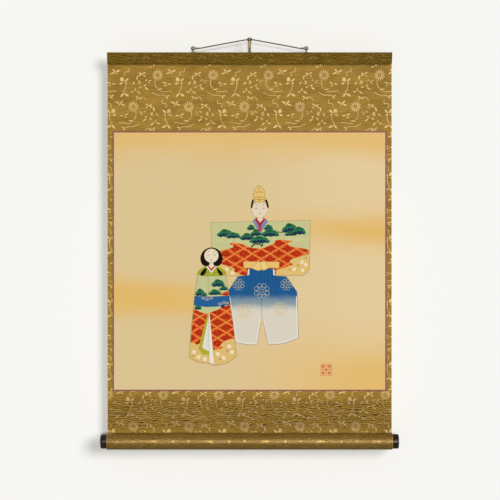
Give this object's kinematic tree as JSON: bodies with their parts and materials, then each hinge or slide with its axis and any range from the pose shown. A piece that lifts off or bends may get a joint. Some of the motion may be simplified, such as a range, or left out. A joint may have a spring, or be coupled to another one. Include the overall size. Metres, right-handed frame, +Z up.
{
  "type": "hanging scroll",
  "caption": "Hanging scroll: a painting on silk in a brocade mounting, with a half-round top stave on a cord and a round wooden roller with end knobs; it rolls up on the roller.",
  "frame": {"origin": "the point where a wall hook carries the hanging cord, at the cord's underside", "axes": "+Z up, the painted face looks along -Y, +X to the viewer's right"},
  "size_m": [0.4646, 0.0281, 0.643],
  "materials": {
    "brocade": "woven figured brocade",
    "stave_brocade": "woven brocade, turned from the light",
    "silk": "painted plain silk",
    "fillet": "plain dark red silk strip",
    "washi": "laid mulberry paper lining",
    "protector": "thin plain silk",
    "cedar": "planed cedar",
    "lacquer": "dark polished wood",
    "iron": "blackened",
    "washer": "dulled",
    "cord": "braided silk",
    "tie": "braided silk, flat"
  },
  "bodies": {
    "hanging_cord": {"hanging_cord": "cord", "left_cord_loop": "cord", "right_cord_loop": "cord"},
    "tie": {"tie_hitch": "tie", "tie_cord": "tie", "tie_end": "tie"},
    "stave": {"stave_core": "cedar", "stave_wrap": "stave_brocade", "left_stave_cover": "stave_brocade", "right_stave_cover": "stave_brocade", "left_eyelet": "iron", "right_eyelet": "iron", "left_washer": "washer", "right_washer": "washer", "leader_lining": "washi", "upper_brocade": "brocade", "top_fillet": "fillet", "left_border": "brocade", "right_border": "brocade", "left_fillet": "fillet", "right_fillet": "fillet", "picture_silk": "silk", "bottom_fillet": "fillet", "lower_brocade": "brocade", "top_protector": "protector"},
    "strip_01": {"lining_01": "washi"},
    "strip_02": {"lining_02": "washi"},
    "strip_03": {"lining_03": "washi"},
    "strip_04": {"lining_04": "washi"},
    "strip_05": {"lining_05": "washi"},
    "strip_06": {"lining_06": "washi"},
    "strip_07": {"lining_07": "washi"},
    "strip_08": {"lining_08": "washi"},
    "strip_09": {"lining_09": "washi"},
    "strip_10": {"lining_10": "washi"},
    "strip_11": {"lining_11": "washi"},
    "strip_12": {"lining_12": "washi"},
    "strip_13": {"lining_13": "washi"},
    "strip_14": {"lining_14": "washi"},
    "strip_15": {"lining_15": "washi"},
    "strip_16": {"lining_16": "washi"},
    "strip_17": {"lining_17": "washi"},
    "strip_18": {"lining_18": "washi"},
    "strip_19": {"lining_19": "washi"},
    "strip_20": {"lining_20": "washi"},
    "strip_21": {"lining_21": "washi"},
    "strip_22": {"lining_22": "washi"},
    "strip_23": {"lining_23": "washi", "corner_patches": "brocade"},
    "roller": {"roller_core": "cedar", "roller_wrap": "brocade", "left_knob": "lacquer", "right_knob": "lacquer"}
  },
  "joints": [
    {"name": "tie_swing", "type": "hinge", "parent": "hanging_cord", "child": "tie", "pos_m": [0, 0, 0.0011], "axis": [1, 0, 0], "range_deg": [0, 60]},
    {"name": "scroll_swing", "type": "hinge", "parent": "hanging_cord", "child": "stave", "pos_m": [0, 0, -0.0152], "axis": [-1, 0, 0], "range_deg": [0, 60]},
    {"name": "bend_01", "type": "hinge", "parent": "stave", "child": "strip_01", "pos_m": [0, 0.009, -0.0873], "axis": [-1, 0, 0], "range_deg": [0, 72], "deforming": ["upper_brocade", "top_protector"]},
    {"name": "bend_02", "type": "hinge", "parent": "strip_01", "child": "strip_02", "pos_m": [0, 0.009, -0.11433], "axis": [-1, 0, 0], "range_deg": [0, 72]},
    {"name": "bend_03", "type": "hinge", "parent": "strip_02", "child": "strip_03", "pos_m": [0, 0.009, -0.14099], "axis": [-1, 0, 0], "range_deg": [0, 72]},
    {"name": "bend_04", "type": "hinge", "parent": "strip_03", "child": "strip_04", "pos_m": [0, 0.009, -0.16729], "axis": [-1, 0, 0], "range_deg": [0, 72], "deforming": ["top_fillet", "left_border", "right_border", "left_fillet", "right_fillet", "picture_silk"]},
    {"name": "bend_05", "type": "hinge", "parent": "strip_04", "child": "strip_05", "pos_m": [0, 0.009, -0.19323], "axis": [-1, 0, 0], "range_deg": [0, 72]},
    {"name": "bend_06", "type": "hinge", "parent": "strip_05", "child": "strip_06", "pos_m": [0, 0.009, -0.2188], "axis": [-1, 0, 0], "range_deg": [0, 72]},
    {"name": "bend_07", "type": "hinge", "parent": "strip_06", "child": "strip_07", "pos_m": [0, 0.009, -0.24401], "axis": [-1, 0, 0], "range_deg": [0, 72]},
    {"name": "bend_08", "type": "hinge", "parent": "strip_07", "child": "strip_08", "pos_m": [0, 0.009, -0.26886], "axis": [-1, 0, 0], "range_deg": [0, 72]},
    {"name": "bend_09", "type": "hinge", "parent": "strip_08", "child": "strip_09", "pos_m": [0, 0.009, -0.29334], "axis": [-1, 0, 0], "range_deg": [0, 72]},
    {"name": "bend_10", "type": "hinge", "parent": "strip_09", "child": "strip_10", "pos_m": [0, 0.009, -0.31746], "axis": [-1, 0, 0], "range_deg": [0, 72]},
    {"name": "bend_11", "type": "hinge", "parent": "strip_10", "child": "strip_11", "pos_m": [0, 0.009, -0.34122], "axis": [-1, 0, 0], "range_deg": [0, 72]},
    {"name": "bend_12", "type": "hinge", "parent": "strip_11", "child": "strip_12", "pos_m": [0, 0.009, -0.36461], "axis": [-1, 0, 0], "range_deg": [0, 72]},
    {"name": "bend_13", "type": "hinge", "parent": "strip_12", "child": "strip_13", "pos_m": [0, 0.009, -0.38764], "axis": [-1, 0, 0], "range_deg": [0, 72]},
    {"name": "bend_14", "type": "hinge", "parent": "strip_13", "child": "strip_14", "pos_m": [0, 0.009, -0.41031], "axis": [-1, 0, 0], "range_deg": [0, 72]},
    {"name": "bend_15", "type": "hinge", "parent": "strip_14", "child": "strip_15", "pos_m": [0, 0.009, -0.43261], "axis": [-1, 0, 0], "range_deg": [0, 72]},
    {"name": "bend_16", "type": "hinge", "parent": "strip_15", "child": "strip_16", "pos_m": [0, 0.009, -0.45455], "axis": [-1, 0, 0], "range_deg": [0, 72]},
    {"name": "bend_17", "type": "hinge", "parent": "strip_16", "child": "strip_17", "pos_m": [0, 0.009, -0.47613], "axis": [-1, 0, 0], "range_deg": [0, 72]},
    {"name": "bend_18", "type": "hinge", "parent": "strip_17", "child": "strip_18", "pos_m": [0, 0.009, -0.49735], "axis": [-1, 0, 0], "range_deg": [0, 72]},
    {"name": "bend_19", "type": "hinge", "parent": "strip_18", "child": "strip_19", "pos_m": [0, 0.009, -0.5182], "axis": [-1, 0, 0], "range_deg": [0, 72]},
    {"name": "bend_20", "type": "hinge", "parent": "strip_19", "child": "strip_20", "pos_m": [0, 0.009, -0.53869], "axis": [-1, 0, 0], "range_deg": [0, 72]},
    {"name": "bend_21", "type": "hinge", "parent": "strip_20", "child": "strip_21", "pos_m": [0, 0.009, -0.55882], "axis": [-1, 0, 0], "range_deg": [0, 72], "deforming": ["bottom_fillet", "lower_brocade"]},
    {"name": "bend_22", "type": "hinge", "parent": "strip_21", "child": "strip_22", "pos_m": [0, 0.009, -0.57858], "axis": [-1, 0, 0], "range_deg": [0, 72]},
    {"name": "bend_23", "type": "hinge", "parent": "strip_22", "child": "strip_23", "pos_m": [0, 0.009, -0.59798], "axis": [-1, 0, 0], "range_deg": [0, 72]},
    {"name": "bend_24", "type": "hinge", "parent": "strip_23", "child": "roller", "pos_m": [0, 0.009, -0.61612], "axis": [-1, 0, 0], "range_deg": [0, 72]}
  ]
}
